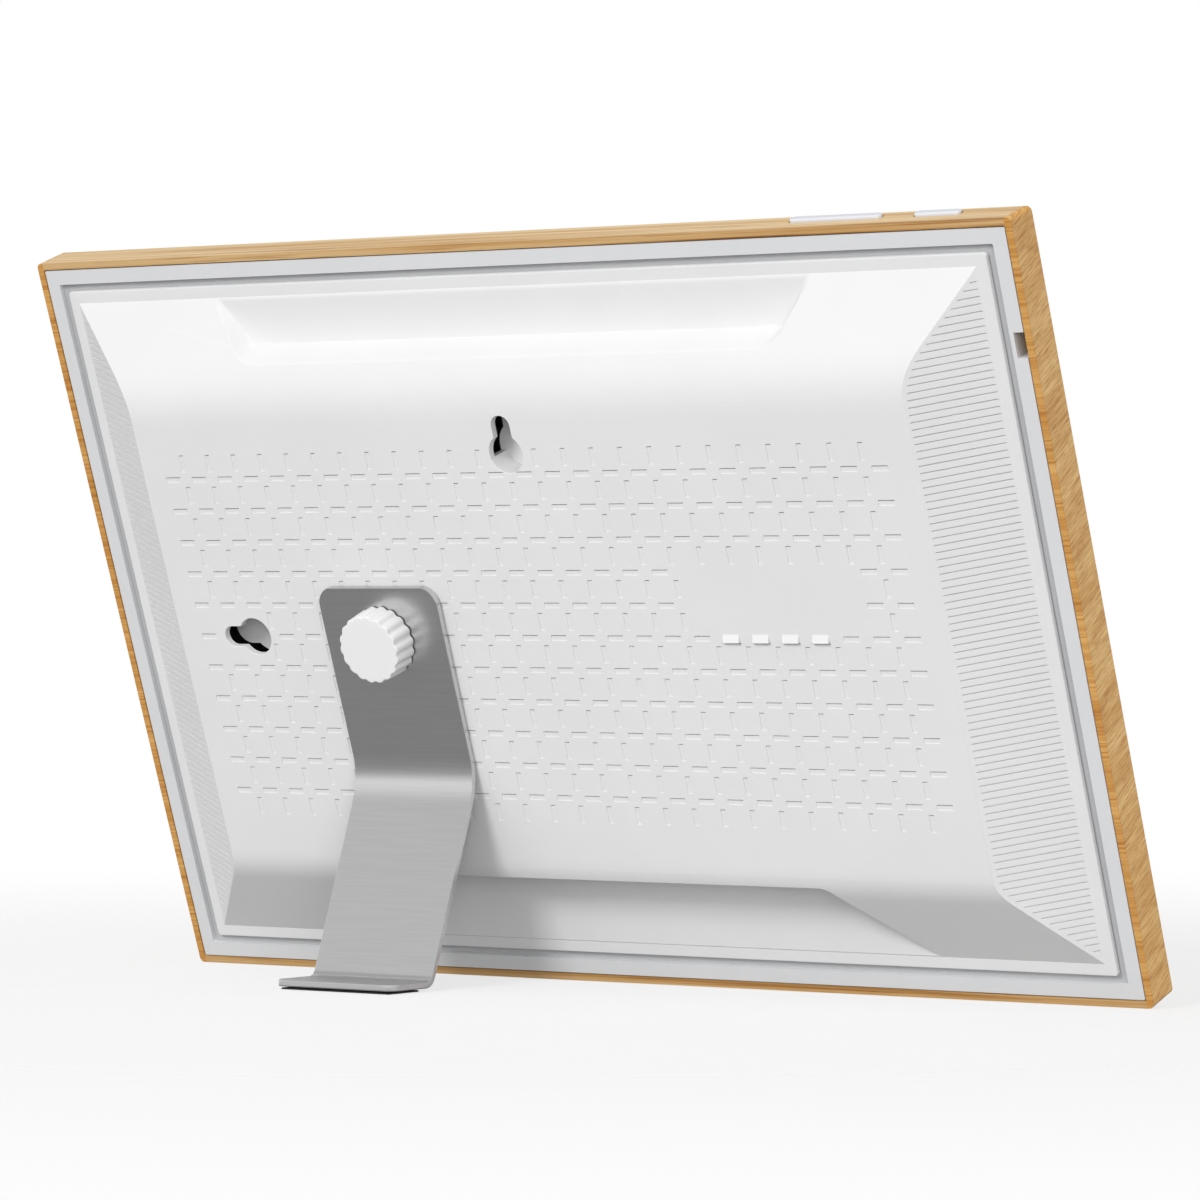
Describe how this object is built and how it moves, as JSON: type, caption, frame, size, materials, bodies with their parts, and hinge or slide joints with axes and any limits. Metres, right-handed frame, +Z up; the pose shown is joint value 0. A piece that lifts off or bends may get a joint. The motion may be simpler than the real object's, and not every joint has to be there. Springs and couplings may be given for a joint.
{
  "type": "digital photo frame",
  "caption": "Wide desk photo frame with an oak surround, white bevelled rear shell, keyholes, top-edge buttons and a bent metal stand on a thumb knob.",
  "frame": {"origin": "centre of the footprint, on the surface that the frame stands on", "axes": "+Z up, display to -Y, rear and stand to +Y, +X to the left as seen from behind; the frame leans back 20 degrees about X"},
  "size_m": [0.26, 0.0696, 0.1671],
  "materials": {
    "oak": "light oak, clear satin oil",
    "white_plastic": "fine-textured white moulding",
    "white_cap": "smooth white moulding",
    "knob_plastic": "satin white moulding",
    "clear_glass": "polished glass",
    "mat_card": "matt white mat",
    "display_glass": "dark display, off",
    "backlight": "white light guide in a pale frame",
    "steel": "zinc-plated steel",
    "black_film": "matt black film",
    "circuit_board": "solder-masked board",
    "black_plastic": "black moulding",
    "flex_film": "amber polyimide",
    "brass": "turned brass",
    "stand_aluminium": "satin anodised",
    "rubber": "matt rubber"
  },
  "bodies": {
    "frame": {"wood_surround": "oak", "cover_glass": "clear_glass", "mat_border": "mat_card", "lcd_panel": "display_glass", "backlight_unit": "backlight", "back_tray": "steel", "insulation_film": "black_film", "rear_ring": "white_plastic", "rear_cover": "white_plastic", "main_board": "circuit_board", "shield_can": "steel", "usb_c_port": "steel", "card_slot": "steel", "speaker": "black_plastic", "button_board": "circuit_board", "power_switch": "steel", "volume_switch_up": "steel", "volume_switch_down": "steel", "lcd_flex": "flex_film", "antenna_strip": "black_film", "thread_insert": "brass", "board_screw_1": "steel", "board_screw_2": "steel", "board_screw_3": "steel", "board_screw_4": "steel", "speaker_screw_1": "steel", "speaker_screw_2": "steel"},
    "stand": {"stand_bracket": "stand_aluminium", "foot_pad": "rubber"},
    "washer": {"knob_washer": "steel"},
    "knob": {"stand_knob": "knob_plastic", "knob_screw": "steel"},
    "power_button": {"power_button": "white_cap"},
    "volume_rocker": {"volume_rocker": "white_cap"}
  },
  "joints": [
    {"name": "stand_swivel", "type": "hinge", "parent": "frame", "child": "stand", "pos_m": [0.04275, 0.0137, 0.07827], "axis": [0, -0.9397, 0.342], "continuous": true},
    {"name": "knob_lift", "type": "slide", "parent": "frame", "child": "washer", "axis": [0, 0.9397, -0.342], "range_m": [0, 0.0014]},
    {"name": "knob_turn", "type": "hinge", "parent": "washer", "child": "knob", "pos_m": [0.04275, 0.0137, 0.07827], "axis": [0, 0.9397, -0.342], "range_deg": [0, 720]},
    {"name": "power_press", "type": "slide", "parent": "frame", "child": "power_button", "axis": [0, -0.342, -0.9397], "range_m": [0, 0.0004], "stiffness_N_per_m": 4000},
    {"name": "volume_tip", "type": "hinge", "parent": "frame", "child": "volume_rocker", "pos_m": [-0.0848, 0.02717, 0.16382], "axis": [0, 0.9397, -0.342], "range_deg": [-1.6, 1.6], "stiffness_Nm_per_rad": 0.5}
  ],
  "couplings": [
    {"joint": "knob_turn", "follows": "knob_lift", "rad_per_m": 8976}
  ]
}
